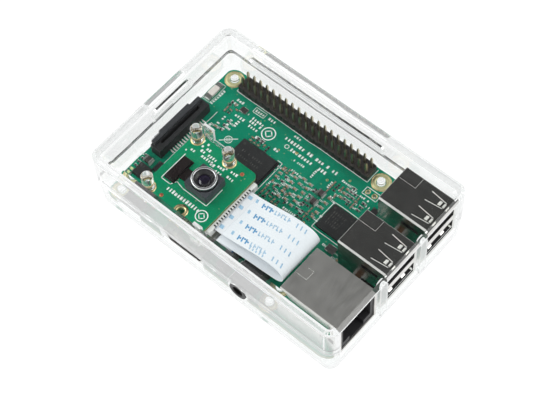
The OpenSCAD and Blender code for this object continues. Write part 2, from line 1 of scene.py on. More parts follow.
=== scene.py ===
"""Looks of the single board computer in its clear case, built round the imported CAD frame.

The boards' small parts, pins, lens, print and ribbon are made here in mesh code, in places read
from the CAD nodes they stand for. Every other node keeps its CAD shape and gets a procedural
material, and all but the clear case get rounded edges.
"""

import json
import math
import random

import bmesh
import bpy
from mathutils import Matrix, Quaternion, Vector
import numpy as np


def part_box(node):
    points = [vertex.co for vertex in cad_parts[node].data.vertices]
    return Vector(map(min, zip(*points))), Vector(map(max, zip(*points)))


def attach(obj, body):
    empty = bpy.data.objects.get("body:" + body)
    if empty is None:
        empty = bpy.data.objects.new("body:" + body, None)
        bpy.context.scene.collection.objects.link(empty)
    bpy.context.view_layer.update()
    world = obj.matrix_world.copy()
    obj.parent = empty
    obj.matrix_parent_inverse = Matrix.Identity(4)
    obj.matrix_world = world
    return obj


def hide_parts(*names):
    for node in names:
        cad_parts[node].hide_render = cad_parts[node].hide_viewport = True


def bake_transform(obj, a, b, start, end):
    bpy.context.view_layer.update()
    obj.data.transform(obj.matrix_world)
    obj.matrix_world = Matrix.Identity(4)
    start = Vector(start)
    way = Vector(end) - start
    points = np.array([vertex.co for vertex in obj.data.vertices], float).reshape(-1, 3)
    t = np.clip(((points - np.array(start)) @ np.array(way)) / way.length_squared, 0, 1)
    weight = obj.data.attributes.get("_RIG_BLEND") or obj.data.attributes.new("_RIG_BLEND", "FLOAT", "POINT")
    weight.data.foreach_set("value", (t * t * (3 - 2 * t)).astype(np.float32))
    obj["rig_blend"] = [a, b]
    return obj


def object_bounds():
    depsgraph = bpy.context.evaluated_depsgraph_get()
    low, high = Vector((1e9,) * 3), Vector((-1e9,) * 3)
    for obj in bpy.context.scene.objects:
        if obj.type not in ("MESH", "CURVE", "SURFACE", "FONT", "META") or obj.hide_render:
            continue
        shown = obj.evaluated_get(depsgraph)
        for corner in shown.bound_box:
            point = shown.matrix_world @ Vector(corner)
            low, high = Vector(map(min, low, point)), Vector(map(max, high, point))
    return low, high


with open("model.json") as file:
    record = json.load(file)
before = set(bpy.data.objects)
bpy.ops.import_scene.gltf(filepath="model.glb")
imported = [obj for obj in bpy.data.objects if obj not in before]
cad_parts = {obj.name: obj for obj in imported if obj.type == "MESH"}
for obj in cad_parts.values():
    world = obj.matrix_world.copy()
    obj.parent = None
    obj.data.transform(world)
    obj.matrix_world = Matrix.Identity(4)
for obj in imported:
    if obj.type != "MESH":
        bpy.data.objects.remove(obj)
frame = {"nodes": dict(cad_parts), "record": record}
cad_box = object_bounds()

MM = 0.001
draw = random.Random(11)

board_low, board_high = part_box("main_board")
camera_low, camera_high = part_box("camera_board")
# Two origins for measures in millimetres: the main board's corner and the camera board's
# middle, both at the boards' top faces
BOARD = Vector((board_low.x, board_low.y, board_high.z))
CAMERA = Vector(((camera_low.x + camera_high.x) / 2, (camera_low.y + camera_high.y) / 2, camera_high.z))
BOARD_T = (board_high.z - board_low.z) / MM


# ---- materials ----

class Nodes:
    """Adds shader nodes to a node tree."""

    def __init__(self, tree):
        self.tree = tree

    def set(self, node, values):
        for name, value in values.items():
            if isinstance(value, bpy.types.NodeSocket):
                self.tree.links.new(value, node.inputs[name])
            else:
                node.inputs[name].default_value = value

    def outputs(self, kind, values=None, **settings):
        """Adds a node and returns its outputs."""
        made = self.tree.nodes.new("ShaderNode" + kind)
        for name, value in settings.items():
            setattr(made, name, value)
        self.set(made, values or {})
        return made.outputs

    def node(self, kind, values=None, **settings):
        """Adds a node and returns its first output."""
        return self.outputs(kind, values, **settings)[0]

    def axes(self, vector):
        """The three parts of a vector."""
        return self.outputs("SeparateXYZ", {0: vector})

    def place(self, stretch=(1, 1, 1)):
        """The point being shaded in the object's own millimetres, squeezed by stretch."""
        place = self.outputs("TexCoord")["Object"]
        squeeze = [1 / (MM * s) for s in stretch]
        return self.node("VectorMath", {0: place, 1: squeeze}, operation="MULTIPLY")

    def noise(self, size, detail=3.0, stretch=(1, 1, 1), offset=0.0):
        """Noise from 0 to 1 whose blobs are about size millimetres across."""
        where = self.place(stretch)
        if offset:
            where = self.node("VectorMath", {0: where, 1: (offset,) * 3}, operation="ADD")
        values = {"Vector": where, "Scale": 1 / size, "Detail": detail}
        return self.node("TexNoise", values)

    def maths(self, operation, a, b=0.0, clamp=False):
        return self.node("Math", {0: a, 1: b}, operation=operation, use_clamp=clamp)

    def times(self, a, b):
        return self.maths("MULTIPLY", a, b)

    def larger(self, a, b):
        return self.maths("MAXIMUM", a, b)

    def between(self, value, low, high, to_low=0.0, to_high=1.0):
        """Value mapped smoothly from low..high to to_low..to_high."""
        values = {0: value, 1: low, 2: high, 3: to_low, 4: to_high}
        return self.node("MapRange", values, interpolation_type="SMOOTHSTEP")

    def mix(self, share, a, b):
        return self.outputs("Mix", {0: share, 6: a, 7: b}, data_type="RGBA")[2]


class Shader(Nodes):
    """One procedural material, built round a Principled surface."""

    def __init__(self, name, values):
        self.material = bpy.data.materials.new(name)
        self.material.use_nodes = True
        super().__init__(self.material.node_tree)
        self.surface = self.tree.nodes["Principled BSDF"]
        self.output = self.tree.nodes["Material Output"]
        self.set(self.surface, values)

    def bump(self, height, strength, distance=0.1):
        values = {"Height": height, "Strength": strength, "Distance": distance * MM}
        self.set(self.surface, {"Normal": self.node("Bump", values)})


def rgb(colour, shade=1.0):
    return (colour[0] * shade, colour[1] * shade, colour[2] * shade, 1.0)


# How much painted pale glow covers light led down inside the clear walls, and the painted sheen on a wall
# seen end-on from above
INNER_PAINTED_GLOW = 0.5
SHEEN = 0.65


def clear_plastic():
    """Polished clear moulding, faintly rippled, with fine scuffs that dull it here and there."""
    s = Shader("clear_plastic", {
        "Base Color": (0.985, 0.992, 0.99, 1), "Transmission Weight": 1.0, "IOR": 1.49,
    })
    scuffs = s.noise(0.5, 6.0, stretch=(7, 1, 1))
    patches = s.between(s.noise(14.0, 2.0), 0.52, 0.75)
    worn = s.times(s.between(scuffs, 0.6, 0.75), patches)
    s.set(s.surface, {"Roughness": s.times(worn, 0.05)})
    s.bump(s.noise(9.0, 1.0), 0.12, 1.0)
    path = s.outputs("LightPath")
    # each pass through a face adds one, so an odd count means inside the plastic
    inside = s.maths("MODULO", path["Transmission Depth"], 2.0)
    # painted light: a pale glow laid over light led down inside the walls, and as a sheen on walls seen from
    # above
    pale = s.node("Emission", {"Color": (0.90, 0.91, 0.91, 1)})
    with_painted_glow = s.node("MixShader", {0: wall_painted_glow(s, path, inside), 1: s.surface.outputs[0], 2: pale})
    # light for the boards, and what they mirror back, goes straight through, which keeps both clean
    mirrored = s.maths("SUBTRACT", path["Is Reflection Ray"], inside, clamp=True)
    unbent = s.larger(s.larger(path["Is Shadow Ray"], path["Is Diffuse Ray"]), mirrored)
    straight = s.node("BsdfTransparent", {"Color": (0.97, 0.98, 0.975, 1)})
    s.set(s.output, {"Surface": s.node("MixShader", {0: unbent, 1: with_painted_glow, 2: straight})})
    return s.material


def wall_painted_glow(s, path, inside):
    """Share of the painted pale glow: over light led down inside the walls, and as a painted sheen on walls
    seen from above.
    """
    shape = s.outputs("NewGeometry")
    from_above = s.axes(shape["Incoming"])[2]
    heading_down = s.maths("GREATER_THAN", from_above, 0.0)
    led = s.times(s.times(path["Is Reflection Ray"], inside), heading_down)
    upright = s.maths("SUBTRACT", 1.0, s.maths("ABSOLUTE", s.axes(shape["Normal"])[2]))
    slant = s.outputs("LayerWeight", {"Blend": 0.5})["Facing"]
    sheen = s.times(s.times(path["Is Camera Ray"], upright), s.times(slant, from_above))
    return s.larger(s.times(led, INNER_PAINTED_GLOW), s.times(sheen, SHEEN))


def stripes(s, coordinate, pitch, width):
    """1 on thin parallel lines, 0 between them."""
    cell = s.maths("FRACT", s.maths("DIVIDE", coordinate, pitch))
    off_centre = s.maths("ABSOLUTE", s.maths("SUBTRACT", cell, 0.5))
    return s.maths("LESS_THAN", off_centre, width / pitch / 2)


def solder_mask(name, green):
    """Glossy green lacquer over glass fibre, with copper tracks and small via dots showing through."""
    s = Shader(name, {"IOR": 1.45})
    x, y, _ = s.axes(s.place())
    rows = s.between(s.noise(6, 1, (3, 1, 1)), 0.53, 0.55)
    columns = s.between(s.noise(6, 1, (1, 3, 1), 40), 0.55, 0.57)
    tracks = s.larger(s.times(stripes(s, y, 0.55, 0.2), rows), s.times(stripes(s, x, 0.5, 0.2), columns))
    dots = s.outputs("TexVoronoi", {"Vector": s.place(), "Scale": 1 / 2.1})["Distance"]
    vias = s.times(s.maths("LESS_THAN", dots, 0.11), s.between(s.noise(8, 1, offset=90), 0.45, 0.5))
    poured = s.between(s.noise(11.0, 2.0, offset=20), 0.46, 0.5)
    ground = s.mix(poured, rgb(green, 0.94), rgb(green, 1.03))
    lacquer = s.mix(s.times(tracks, 0.45), ground, rgb(green, 1.6))
    lacquer = s.mix(s.times(vias, 0.6), lacquer, (0.30, 0.42, 0.22, 1))
    normal_z = s.axes(s.outputs("NewGeometry")["Normal"])[2]
    edge = s.maths("LESS_THAN", s.maths("ABSOLUTE", normal_z), 0.5)
    weave = s.mix(s.noise(0.25, 3, (4, 4, 1)), (0.10, 0.16, 0.05, 1), (0.24, 0.28, 0.10, 1))
    haze = s.between(s.noise(3.0, 4.0, offset=7), 0.3, 0.8, 0.14, 0.24)
    s.set(s.surface, {"Base Color": s.mix(edge, lacquer, weave), "Roughness": haze})
    s.bump(s.larger(tracks, vias), 0.35, 0.04)
    return s.material


def metal(name, colour, roughness, grain=(1, 1, 1), smudge=0.12, depth=0.05, size=0.12):
    """Bare or plated metal: rolling marks along the grain, and a patchy dulled film."""
    s = Shader(name, {"Metallic": 1.0})
    film = s.noise(5.0, 4.0)
    marks = s.noise(size, 2.0, grain)
    s.set(s.surface, {
        "Base Color": s.mix(s.between(film, 0.3, 0.7), rgb(colour, 0.86), rgb(colour, 1.0)),
        "Roughness": s.between(marks, 0.2, 0.8, roughness - smudge / 2, roughness + smudge / 2),
    })
    if depth:
        s.bump(marks, depth, 0.05)
    return s.material


def moulded(name, colour, roughness, grain=0.12, depth=0.25, mottle=0.15):
    """Moulded plastic, resin or fired ceramic: fine grain, slight mottling, worn shiny in patches."""
    s = Shader(name, {"IOR": 1.5})
    blotch = s.noise(1.6, 4.0)
    fine = s.noise(grain, 3.0)
    polished = s.between(s.noise(4.5, 3.0, offset=30), 0.45, 0.75, 0.0, 0.14)
    s.set(s.surface, {
        "Base Color": s.mix(blotch, rgb(colour, 1 - mottle), rgb(colour, 1 + mottle)),
        "Roughness": s.maths("SUBTRACT", roughness, polished),
    })
    s.bump(fine, depth, 0.03)
    return s.material


def ink(name, colour, thin=0.25):
    """Screen print: slightly uneven, so that the surface under it greys it in places."""
    s = Shader(name, {"IOR": 1.45})
    cover = s.between(s.noise(0.35, 3.0), 0.25, 0.6)
    s.set(s.surface, {
        "Base Color": s.mix(cover, rgb(colour, 1 - thin), rgb(colour)),
        "Roughness": s.between(s.noise(0.8), 0.3, 0.7, 0.45, 0.65),
    })
    return s.material


def cable_film():
    """White polyester film, glossy, with the flat conductors under it just showing as ridges."""
    s = Shader("cable_film", {"IOR": 1.5})
    across = s.axes(s.node("UVMap"))[1]
    ridge = s.between(s.maths("SINE", s.times(across, 2 * math.pi)), -0.4, 0.9)
    cloud = s.noise(6.0, 3.0)
    white = s.mix(cloud, (0.80, 0.84, 0.89, 1), (0.86, 0.89, 0.92, 1))
    s.set(s.surface, {
        "Base Color": s.mix(s.times(ridge, 0.12), white, (0.62, 0.66, 0.72, 1)),
        "Roughness": s.between(s.noise(2.0, offset=12), 0.3, 0.7, 0.28, 0.42),
    })
    s.bump(ridge, 0.25, 0.05)
    return s.material


def coated_glass():
    """Dark lens element whose coating turns violet towards the rim."""
    s = Shader("coated_glass", {
        "Roughness": 0.03, "IOR": 1.6, "Coat Weight": 1.0, "Coat Roughness": 0.02,
    })
    facing = s.outputs("LayerWeight", {"Blend": 0.35})["Facing"]
    tint = s.mix(facing, (0.006, 0.006, 0.012, 1), (0.06, 0.035, 0.11, 1))
    dust = s.between(s.noise(0.25, 3.0), 0.68, 0.74, 0.0, 0.4)
    s.set(s.surface, {"Base Color": s.mix(dust, tint, (0.12, 0.12, 0.13, 1))})
    return s.material


MATERIALS = {
    "clear": clear_plastic(),
    "board": solder_mask("main_board_lacquer", (0.002, 0.215, 0.122)),
    "camera_board": solder_mask("camera_board_lacquer", (0.001, 0.222, 0.100)),
    "gold": metal("gold_plating", (0.86, 0.70, 0.38), 0.28, smudge=0.2),
    "pad_gold": metal("pale_plating", (0.86, 0.82, 0.50), 0.6, smudge=0.2),
    "pins": metal("pin_plating", (0.56, 0.49, 0.35), 0.3, (1, 1, 6)),
    "shell": metal("tinned_shell", (0.76, 0.75, 0.73), 0.2, (4, 1, 1), 0.04, 0, 1.5),
    "dull_shell": metal("dull_nickel", (0.80, 0.78, 0.755), 0.42, (1, 4, 1), 0.05, 0, 1.5),
    "bright": metal("bright_tin", (0.92, 0.91, 0.88), 0.3, smudge=0.2),
    "copper": metal("bare_copper", (0.62, 0.20, 0.11), 0.5),
    "dark_metal": metal("dark_metal", (0.09, 0.09, 0.09), 0.4),
    "solder": metal("solder", (0.80, 0.80, 0.78), 0.35, smudge=0.3, depth=0.3),
    "black": moulded("black_nylon", (0.022, 0.022, 0.024), 0.5),
    "header_black": moulded("header_nylon", (0.03, 0.027, 0.025), 0.5),
    "grey": moulded("grey_nylon", (0.045, 0.047, 0.052), 0.42),
    "resin": moulded("chip_resin", (0.017, 0.018, 0.019), 0.55, 0.08, 0.35),
    "tan": moulded("fired_ceramic", (0.42, 0.29, 0.18), 0.5),
    "dark_ceramic": moulded("dark_ceramic", (0.06, 0.05, 0.05), 0.45),
    "antenna": moulded("pale_ceramic", (0.72, 0.66, 0.62), 0.5),
    "fuse": moulded("fuse_laminate", (0.03, 0.10, 0.03), 0.4),
    "brown": moulded("capacitor_case", (0.20, 0.09, 0.035), 0.4),
    "lamp": moulded("lamp_lens", (0.62, 0.74, 0.36), 0.2, mottle=0.05),
    "white_nylon": moulded("white_nylon", (0.80, 0.80, 0.78), 0.4, mottle=0.05),
    "cream": moulded("cream_nylon", (0.70, 0.68, 0.60), 0.45, mottle=0.06),
    "housing": moulded("lens_housing_plastic", (0.055, 0.06, 0.07), 0.38, 0.2, 0.2),
    "flex": moulded("dark_film", (0.016, 0.011, 0.011), 0.32, 0.6, 0.15, 0.3),
    "turned": metal("turned_ring", (0.78, 0.78, 0.80), 0.22, smudge=0.12),
    "lens_black": moulded("lens_black", (0.012, 0.012, 0.014), 0.35),
    "lens": coated_glass(),
    "white_ink": ink("white_print", (0.95, 0.97, 0.95)),
    "grey_ink": ink("laser_marks", (0.09, 0.088, 0.085), 0.4),
    "blue_ink": ink("blue_print", (0.10, 0.36, 0.66)),
    "pale_blue_ink": ink("pale_blue_print", (0.36, 0.58, 0.78)),
    "film": cable_film(),
    "stiffener": moulded("cable_stiffener", (0.80, 0.82, 0.86), 0.4, 0.5, 0.1, 0.04),
    "blue_stiffener": moulded("blue_stiffener", (0.05, 0.16, 0.42), 0.35, 0.5, 0.1, 0.1),
}


# ---- mesh tools ----

ROUND = 28
# Creases blunter than this stay as they are when edges are rounded, in degrees
SHARP = 35


def circle(x, y, r, sides=ROUND):
    angles = [2 * math.pi * i / sides for i in range(sides)]
    return [(x + r * math.cos(a), y + r * math.sin(a)) for a in angles]


def rectangle(a, b):
    """Corners of a rectangle that reaches a and b to either side of its middle."""
    return [(-a, -b), (a, -b), (a, b), (-a, b)]


def span(node, origin=BOARD):
    """The low and high corners of a CAD node's box, in millimetres from origin."""
    return [(corner - origin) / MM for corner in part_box(node)]


def shade_by_angle(mesh, limit=32):
    """Smooth faces, with sharp creases left where they meet at more than limit degrees."""
    for face in mesh.faces:
        face.smooth = True
    for edge in mesh.edges:
        edge.smooth = len(edge.link_faces) == 2 and edge.calc_face_angle() < math.radians(limit)


def round_edges(mesh, width, segments, wanted=None):
    """Rounds the creases that wanted(edge) picks, or all of them."""
    sharp = math.radians(SHARP)
    creases = [e for e in mesh.edges if len(e.link_faces) == 2 and e.calc_face_angle() > sharp]
    if wanted:
        creases = [e for e in creases if wanted(e)]
    bmesh.ops.bevel(mesh, geom=creases, offset=width, segments=segments, profile=0.5,
                    affect="EDGES", clamp_overlap=True)


def make_piece(name, mesh, material, body, stands_for=None):
    """Turns a finished bmesh, in metres, into a piece; it rides on a body, and may stand for a CAD node."""
    bmesh.ops.recalc_face_normals(mesh, faces=mesh.faces)
    data = bpy.data.meshes.new(name)
    mesh.to_mesh(data)
    mesh.free()
    data.materials.append(MATERIALS[material])
    piece = bpy.data.objects.new(name, data)
    bpy.context.scene.collection.objects.link(piece)
    # large flat faces keep their own direction, so that clear walls don't bend the view
    steady = piece.modifiers.new("flat_faces", "WEIGHTED_NORMAL")
    steady.weight = 100
    steady.keep_sharp = True
    if body:
        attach(piece, body)
    if stands_for:
        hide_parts(stands_for)
    return piece


class Solids:
    """Collects closed solids, given in millimetres from a board's origin, into one mesh."""

    def __init__(self, origin=BOARD):
        self.origin = origin
        self.mesh = bmesh.new()

    def loft(self, rings, closed=False):
        """Skins equal rings of (x, y, z) points; the ends are capped unless the loft closes on itself."""
        made = [[self.mesh.verts.new(self.origin + Vector(p) * MM) for p in ring] for ring in rings]
        count = len(rings[0])
        pairs = list(zip(made, made[1:]))
        if closed:
            pairs.append((made[-1], made[0]))
        for a, b in pairs:
            for i in range(count):
                j = (i + 1) % count
                self.mesh.faces.new((a[i], a[j], b[j], b[i]))
        if not closed:
            self.mesh.faces.new(made[0][::-1])
            self.mesh.faces.new(made[-1])

    def prism(self, outline, low, high):
        self.loft([[(x, y, z) for x, y in outline] for z in (low, high)])

    def ridge(self, points, width, low, high):
        """Line of strips with roof-shaped tops, whose slopes catch the light."""
        points = [Vector(p) for p in points]
        for a, b in zip(points, points[1:]):
            side = Vector((a.y - b.y, b.x - a.x)).normalized() * width / 2
            self.loft([[(*(end - side), low), (*(end + side), low), (*end, high)] for end in (a, b)])

    def box(self, x, y, z, size):
        """Block with its middle at x, y and its underside at z."""
        self.prism([(x + dx, y + dy) for dx, dy in rectangle(size[0] / 2, size[1] / 2)], z, z + size[2])

    def bar(self, x, y, along_x, offset, z, size):
        """Block moved by offset along its length; size is its length, width and height."""
        if along_x:
            self.box(x + offset, y, z, size)
        else:
            self.box(x, y + offset, z, (size[1], size[0], size[2]))

    def strip(self, a, b, width, low, high):
        """Straight strip from point a to point b."""
        ahead = (Vector(b) - Vector(a)).normalized() * width / 2
        side = Vector((-ahead.y, ahead.x))
        a, b = Vector(a) - ahead, Vector(b) + ahead
        self.prism([a - side, b - side, b + side, a + side], low, high)

    def turned(self, x, y, profile, sides=48, closed=False):
        """Solid of revolution from (radius, height) points: full between two flats, or a closed ring."""
        self.loft([[(px, py, z) for px, py in circle(x, y, r, sides)] for r, z in profile], closed)

    def ring(self, x, y, outer, inner, low, high, sides=ROUND):
        walls = [(outer, low), (outer, high), (inner, high), (inner, low)]
        self.turned(x, y, walls, sides, closed=True)

    def finish(self, name, material, stands_for=None, body=None, edge=0.0, segments=1, limit=32):
        """Makes the piece, which rides on the board whose origin it has unless a body is given."""
        if edge:
            round_edges(self.mesh, edge * MM, segments)
        shade_by_angle(self.mesh, limit)
        if body is None:
            body = "lid" if self.origin is CAMERA else "base"
        return make_piece(name, self.mesh, material, body, stands_for)


BODY_OF = {node: body for body, nodes in frame["record"]["behaviour"]["bodies"].items() for node in nodes}


def cad_mesh(node):
    """A welded copy of a CAD node's mesh, with its flat faces made whole again."""
    mesh = bmesh.new()
    mesh.from_mesh(frame["nodes"][node].data)
    bmesh.ops.remove_doubles(mesh, verts=mesh.verts, dist=1e-6)
    bmesh.ops.dissolve_limit(mesh, angle_limit=math.radians(0.5), verts=mesh.verts, edges=mesh.edges)
    return mesh


def refine(node, material, edge=0.06, segments=2, limit=32):
    """Stands in for a CAD node with the same shape and softened edges."""
    mesh = cad_mesh(node)
    if edge:
        round_edges(mesh, edge * MM, segments)
    shade_by_angle(mesh, limit)
    make_piece(node + "_body", mesh, material, BODY_OF[node], node)


def islands(node, origin=BOARD):
    """The separate solids of a CAD node, as (middle, size) in millimetres from origin."""
    mesh = cad_mesh(node)
    left = set(mesh.verts)
    found = []
    while left:
        group, edge = set(), {left.pop()}
        while edge:
            vert = edge.pop()
            group.add(vert)
            edge |= {e.other_vert(vert) for e in vert.link_edges} - group
        left -= group
        low = Vector([min(v.co[i] for v in group) for i in range(3)])
        high = Vector([max(v.co[i] for v in group) for i in range(3)])
        found.append((((low + high) / 2 - origin) / MM, (high - low) / MM))
    mesh.free()
    return sorted(found, key=lambda part: (round(part[0].x, 2), round(part[0].y, 2)))


# ---- print on the boards ----

INK = 0.03
# Share of places in a row of marks that are left empty, as the gaps between words are
GAPS = 0.12


class Print:
    """White print on one face of a board: lines, outlines and rows of marks that spell nothing."""

    def __init__(self, origin=BOARD, face=0.0, side=1):
        self.solids = Solids(origin)
        self.low, self.high = sorted((face, face + side * INK))

    def line(self, *points, width=0.22):
        for a, b in zip(points, points[1:]):
            self.solids.strip(a, b, width, self.low, self.high)

    def frame(self, x0, y0, x1, y1, width=0.2):
        self.line((x0, y0), (x1, y0), (x1, y1), (x0, y1), (x0, y0), width=width)

    def ring(self, x, y, r, width=0.25):
        self.solids.ring(x, y, r, r - width, self.low, self.high)

    def marks(self, x, y, count, height=1.0, pitch=0.95, turn=0):
        """A row of count short marks from x, y, as small print looks from afar."""
        ahead = Vector((math.cos(math.radians(turn)), math.sin(math.radians(turn))))
        up = Vector((-ahead.y, ahead.x))
        for i in range(count):
            if draw.random() < GAPS:
                continue
            start = Vector((x, y)) + ahead * (i * pitch + pitch * 0.25)
            thick = pitch * draw.uniform(0.42, 0.72)
            tall = height * draw.uniform(0.7, 1.0)
            foot, head = start + up * thick / 2, start + up * (tall - thick / 2)
            self.solids.strip(foot, head, thick, self.low, self.high)

    def badge(self, x, y, r):
        """Plain round mark: a ring with a tilted square in it."""
        self.ring(x, y, r, r * 0.16)
        corners = circle(x, y, r * 0.55, 4)
        self.line(*corners, corners[0], width=r * 0.14)

    def finish(self, name):
        self.solids.finish(name, "white_ink")


def main_board_print():
    ink_on = Print()
    ink_on.line((6.9, 55.2), (6.9, 49.9), (58.2, 49.9), (58.2, 55.2))
    ink_on.frame(15.6, 47.3, 19.7, 49.2)
    ink_on.marks(16.2, 47.8, 4, 0.9, 0.85)
    ink_on.marks(30.4, 48.3, 4, 0.9, 0.9)
    ink_on.marks(29.6, 45.9, 19, 1.25, 1.08)
    ink_on.ring(31.8, 44.3, 0.75, 0.2)
    ink_on.marks(33.4, 43.7, 13, 1.25, 1.08)
    ink_on.badge(24.6, 44.2, 2.3)
    ink_on.badge(16.6, 34.9, 1.3)
    ink_on.line((14.6, 33.0), (18.6, 36.8), width=0.25)
    for x, y, count in [
        (17.2, 44.9, 5), (17.2, 43.7, 5), (18.0, 42.2, 4), (22.3, 40.4, 4), (8.2, 47.2, 4),
        (8.2, 45.6, 3), (21.2, 47.9, 3), (29.4, 40.8, 2), (12.4, 42.6, 4), (20.4, 37.6, 3),
    ]:
        ink_on.marks(x, y, count)
    for x, y, count in [(4.3, 41.2, 7), (13.2, 36.6, 5), (10.6, 37.2, 4), (15.2, 38.6, 4), (9.0, 33.2, 3)]:
        ink_on.marks(x, y, count, turn=90)
    # outlines round the chips, the sockets and the two reset pads
    ink_on.line((33.0, 38.8), (34.8, 38.8), (34.8, 26.0))
    ink_on.frame(55.2, 28.0, 65.7, 38.6)
    ink_on.frame(59.2, 46.2, 64.4, 48.8)
    ink_on.line((7.3, 16.2), (7.3, 40.2), width=0.18)
    ink_on.line((42.6, 0.6), (42.6, 23.2), (47.6, 23.2), (47.6, 0.6), width=0.18)
    ink_on.frame(0.3, 41.2, 3.2, 48.8, 0.16)
    ink_on.frame(7.7, 5.6, 13.5, 9.6, 0.16)
    # a line and reference marks beside each small part
    reach = 3
    for node in ("ceramic_capacitors", "chip_resistors", "crystals"):
        for middle, size in islands(node):
            side = draw.choice((-1, 1))
            x = middle.x + side * (size.x / 2 + 0.35) - (reach * 0.42 if side < 0 else 0)
            ink_on.marks(x, middle.y - 0.35, reach, 0.75, 0.5)
            y = middle.y + size.y / 2 + 0.25
            ink_on.line((middle.x - 0.75, y), (middle.x + 0.75, y), width=0.12)
    for x, y, count, turn in [
        (36.6, 41.6, 6, 0), (44.6, 40.6, 5, 90), (38.2, 38.6, 4, 0), (50.6, 41.0, 4, 90),
        (52.2, 45.4, 6, 0), (56.4, 44.8, 3, 0), (66.2, 46.6, 3, 90), (59.6, 44.6, 5, 0),
        (36.4, 30.2, 3, 90), (44.6, 27.2, 7, 0), (66.8, 36.2, 3, 90), (52.2, 38.8, 3, 0),
    ]:
        ink_on.marks(x, y, count, 0.8, 0.7, turn)
    ink_on.finish("board_print")


def underside_print():
    ink_on = Print(face=-BOARD_T, side=-1)
    chip, size = islands("memory_chip")[0]
    half_x, half_y = size.x / 2 + 0.5, size.y / 2 + 0.5
    ink_on.frame(chip.x - half_x, chip.y - half_y, chip.x + half_x, chip.y + half_y)
    ink_on.badge(62, 30, 2.6)
    for row in range(4):
        ink_on.marks(44, 33 - 2.2 * row, 12 - 2 * row, 1.2, 1.1)
    for _ in range(26):
        x = draw.uniform(18, 66)
        y = draw.choice((draw.uniform(6, 20), draw.uniform(40, 47)))
        ink_on.marks(x, y, 3, 0.7, 0.6, draw.choice((0, 90)))
    ink_on.finish("underside_print")


def camera_board_print():
    ink_on = Print(CAMERA)
    # outline that follows the dark tail and the lens housing
    ink_on.line((-9.4, 4.4), (-9.4, -5.9), (-5.9, -5.9), (-4.9, -4.0), (-1.9, -4.7), (7.1, -4.7), (7.1, 2.2),
                width=0.25)
    ink_on.line((-1.2, 4.7), (1.4, 4.7), width=0.2)
    for x, y, count in [
        (-8.2, 10.7, 4), (-7.4, 9.3, 6), (-6.6, 7.9, 7), (-5.2, 6.6, 5), (-9.2, 6.4, 2),
        (-1.4, 6.2, 2), (1.2, 5.2, 3), (3.2, 8.0, 5), (0.8, 7.0, 3), (5.2, 6.0, 3),
    ]:
        ink_on.marks(x, y, count, 1.0, 0.9)
    ink_on.marks(-5.6, -7.9, 12, 1.35, 1.05)
    ink_on.badge(8.3, -8.0, 2.0)
    ink_on.marks(-10.4, 5.4, 2, 0.7, 0.7)
    ink_on.finish("camera_board_print")


# ---- small parts ----

def chip_parts(node, name, core, origin=BOARD, below=False):
    """Stands in for a node of small parts: cores between tinned ends, each in a bead of solder."""
    cores, ends = Solids(origin), Solids(origin)
    for middle, size in islands(node, origin):
        along_x = size.x > size.y
        length, width = max(size.x, size.y), min(size.x, size.y)
        cap = length * 0.22
        low = middle.z - size.z / 2
        foot = low + (size.z * 0.7 if below else 0)
        spot = (middle.x, middle.y, along_x)
        cores.bar(*spot, 0, low + 0.02, (length - 2 * cap + 0.02, width * 0.92, size.z * 0.93))
        for side in (-1, 1):
            ends.bar(*spot, side * (length - cap) / 2, low, (cap, width, size.z))
            ends.bar(*spot, side * (length / 2 + 0.06), foot, (0.24, width * 1.05, size.z * 0.3))
    cores.finish(name + "_cores", core, node, edge=0.05)
    ends.finish(name + "_ends", "solder", edge=0.05)


# First x and y, columns and rows of each crowd of tiny parts
TINY_CROWDS = (
    (36.4, 25.6, 12, 12), (51.0, 40.2, 9, 4), (66.6, 29.4, 3, 9), (8.6, 42.2, 3, 4), (22.0, 39.0, 5, 2),
)
TINY_PITCH = (1.5, 1.15)
TINY_CORE = (0.8, 0.4, 0.34)
TINY_END = (0.32, 0.56, 0.36)


def tiny_parts():
    """The smallest parts, which crowd the board between the chips: cores between tinned ends, in rows."""
    taken = []
    for node in ("processor", "network_chip", "power_regulator", "ceramic_capacitors", "chip_resistors",
                 "crystals", "power_inductors", "bulk_capacitors", "reset_pads", "camera_socket"):
        taken += islands(node)
    pale, dark, ends = Solids(), Solids(), Solids()
    for x0, y0, columns, rows in TINY_CROWDS:
        for i in range(columns * rows):
            x = x0 + TINY_PITCH[0] * (i % columns)
            y = y0 + TINY_PITCH[1] * (i // columns)
            if any(abs(x - m.x) < size.x / 2 + 0.7 and abs(y - m.y) < size.y / 2 + 0.55 for m, size in taken):
                continue
            if draw.random() < 0.3:
                continue
            along_x = draw.random() < 0.5
            core = pale if draw.random() < 0.6 else dark
            core.bar(x, y, along_x, 0, 0.0, TINY_CORE)
            for side in (-0.42, 0.42):
                ends.bar(x, y, along_x, side, 0.0, TINY_END)
    pale.finish("tiny_capacitors", "tan", edge=0.03)
    dark.finish("tiny_resistors", "black", edge=0.03)
    ends.finish("tiny_part_ends", "bright", edge=0.04)


# How far a chip's laser marks stand off it
LASER = 0.012


def packaged_chip(node, name, marks, lid_inset=0.0, below=False):
    """Moulded chips with soft edges and faint laser marks; lid_inset makes the upper half narrower."""
    for number, (middle, size) in enumerate(islands(node)):
        package = Solids()
        low, high = middle.z - size.z / 2, middle.z + size.z / 2
        step = size.z * (0.5 if lid_inset else 1)
        package.box(middle.x, middle.y, low, (size.x, size.y, step))
        if lid_inset:
            package.box(middle.x, middle.y, low + step, (size.x - lid_inset, size.y - lid_inset, step))
        tag = f"{name}_{number + 1}" if number else name
        package.finish(tag, "resin", None if number else node, edge=0.1, segments=2)
        face = (low - LASER, low) if below else (high, high + LASER)
        laser_marks(middle, size, face, marks).finish(tag + "_marks", "grey_ink")


